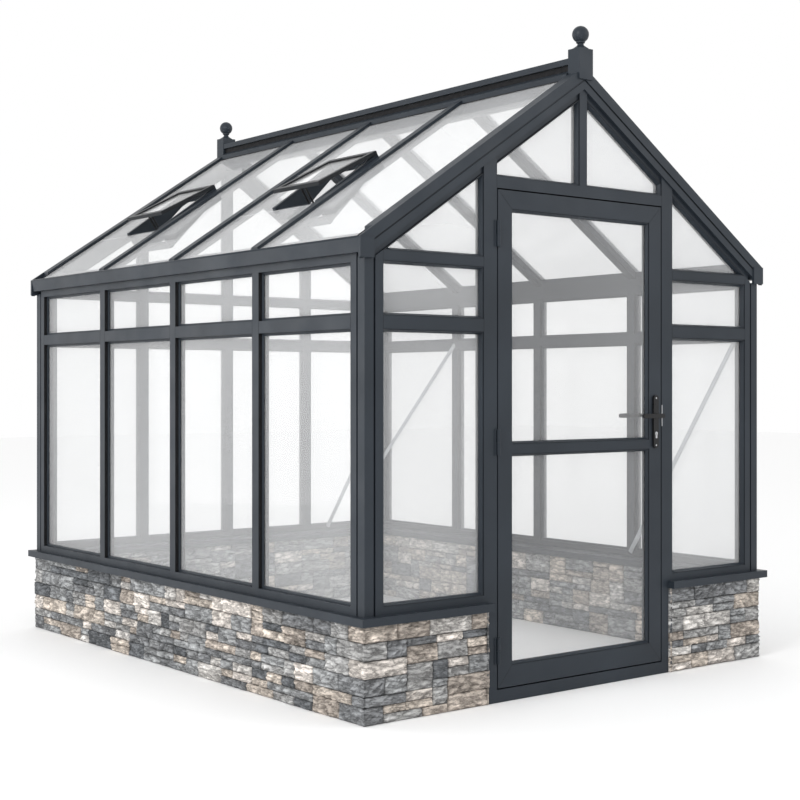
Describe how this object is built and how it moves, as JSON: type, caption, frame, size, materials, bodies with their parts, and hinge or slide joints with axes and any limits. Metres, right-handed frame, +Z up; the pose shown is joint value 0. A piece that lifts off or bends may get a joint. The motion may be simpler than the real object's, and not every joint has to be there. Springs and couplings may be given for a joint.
{
  "type": "glass greenhouse",
  "caption": "Glass greenhouse with a dark aluminium frame on a low stone wall, a hinged glazed door in one gable, two open roof vents and ball finials.",
  "frame": {"origin": "centre of the footprint, on the ground", "axes": "+X to the right seen from the door side, +Y along the ridge from the door gable to the back, +Z up"},
  "size_m": [2.45, 3.07, 2.8831],
  "materials": {
    "frame": "satin dark grey powder coat",
    "glass": "clear",
    "stone": "rough split stone",
    "handle": "satin black",
    "brace": "mill finish"
  },
  "bodies": {
    "greenhouse": {"stone_wall_left": "stone", "stone_wall_right": "stone", "stone_wall_back": "stone", "stone_piers_front": "stone", "sill_left": "frame", "sill_right": "frame", "sill_back": "frame", "sill_front": "frame", "corner_posts": "frame", "left_wall_frame": "frame", "left_wall_transoms": "frame", "left_wall_glass": "glass", "right_wall_frame": "frame", "right_wall_transoms": "frame", "right_wall_glass": "glass", "back_wall_frame": "frame", "back_wall_transoms": "frame", "back_wall_glass": "glass", "door_posts": "frame", "door_lintel": "frame", "door_threshold": "frame", "king_post": "frame", "front_panel_frames": "frame", "front_transoms": "frame", "front_glass": "glass", "front_gable_rafters": "frame", "back_gable_rafters": "frame", "ridge_beam": "frame", "ridge_cap": "frame", "ridge_finials": "frame", "roof_bars_left": "frame", "roof_bars_right": "frame", "roof_glass_left": "glass", "roof_glass_right": "glass", "eaves_gutters": "frame", "vent_curbs": "frame", "vent_leaf_frames": "frame", "vent_glass": "glass", "vent_stays": "handle", "wall_braces": "brace", "door_hinge_posts": "frame"},
    "door": {"door_hinge_leaves": "frame", "door_leaf": "frame", "door_glass": "glass", "door_handle_plates": "handle"},
    "lever": {"door_lever": "handle"}
  },
  "joints": [
    {"name": "door_hinge", "type": "hinge", "parent": "greenhouse", "child": "door", "pos_m": [-0.502, -1.498, 1.08], "axis": [0, 0, -1], "range_deg": [0, 105]},
    {"name": "lever_turn", "type": "hinge", "parent": "door", "child": "lever", "pos_m": [0.458, -1.4675, 1.178], "axis": [0, -1, 0], "range_deg": [0, 40], "stiffness_Nm_per_rad": 4, "springref_deg": -14.32}
  ]
}
